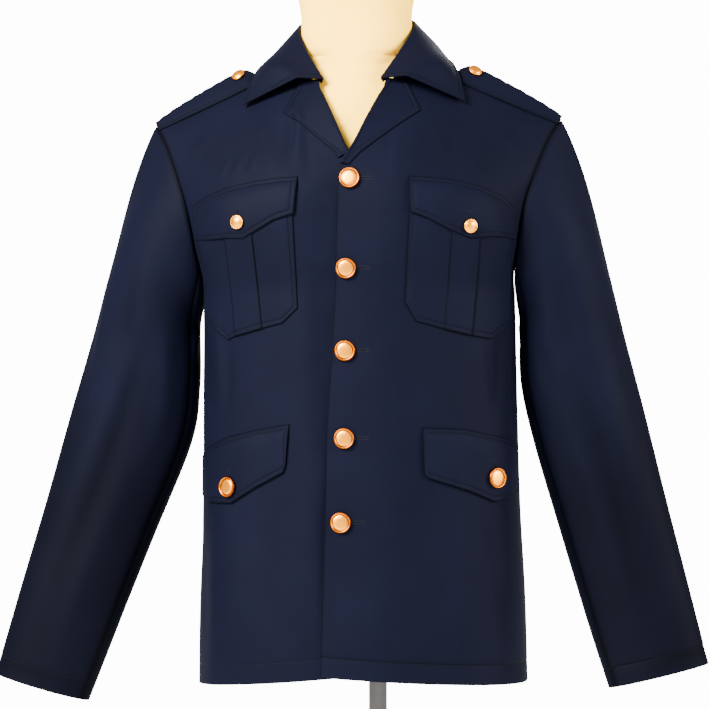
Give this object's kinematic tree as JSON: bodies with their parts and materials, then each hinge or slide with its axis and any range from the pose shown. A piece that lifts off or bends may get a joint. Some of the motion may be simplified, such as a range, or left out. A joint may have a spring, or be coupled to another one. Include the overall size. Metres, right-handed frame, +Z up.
{
  "type": "uniform shirt on a limbless dress form",
  "caption": "Long-sleeved button-front uniform shirt with notched collar, shoulder straps and patch pockets, worn by a limbless dress form that stands on a pole and round base.",
  "frame": {"origin": "middle of the underside of the round base, on the pole's axis", "axes": "+Z up the pole, +X to the wearer's left, -Y the way the shirt's front faces"},
  "size_m": [0.8267, 0.34, 1.5926],
  "materials": {
    "navy_cloth": "smooth dark navy twill with a slight sheen",
    "gold_metal": "gilt metal, rimmed, with a matt centre",
    "cream_jersey": "close cream jersey cover",
    "chrome": "polished"
  },
  "bodies": {
    "root": {"front_left": "navy_cloth", "front_right": "navy_cloth", "back": "navy_cloth", "sleeve_top_left": "navy_cloth", "sleeve_top_right": "navy_cloth", "sleeve_under_left": "navy_cloth", "sleeve_under_right": "navy_cloth", "collar": "navy_cloth", "lapel_left": "navy_cloth", "lapel_right": "navy_cloth", "epaulette_left": "navy_cloth", "epaulette_right": "navy_cloth", "chest_pocket_left": "navy_cloth", "chest_pocket_right": "navy_cloth", "chest_flap_left": "navy_cloth", "chest_flap_right": "navy_cloth", "lower_flap_left": "navy_cloth", "lower_flap_right": "navy_cloth", "front_button_1": "gold_metal", "front_button_2": "gold_metal", "front_button_3": "gold_metal", "front_button_4": "gold_metal", "front_button_5": "gold_metal", "chest_button_left": "gold_metal", "chest_button_right": "gold_metal", "lower_button_left": "gold_metal", "lower_button_right": "gold_metal", "epaulette_button_left": "gold_metal", "epaulette_button_right": "gold_metal", "form": "cream_jersey", "pole": "chrome", "base": "chrome"}
  },
  "joints": []
}
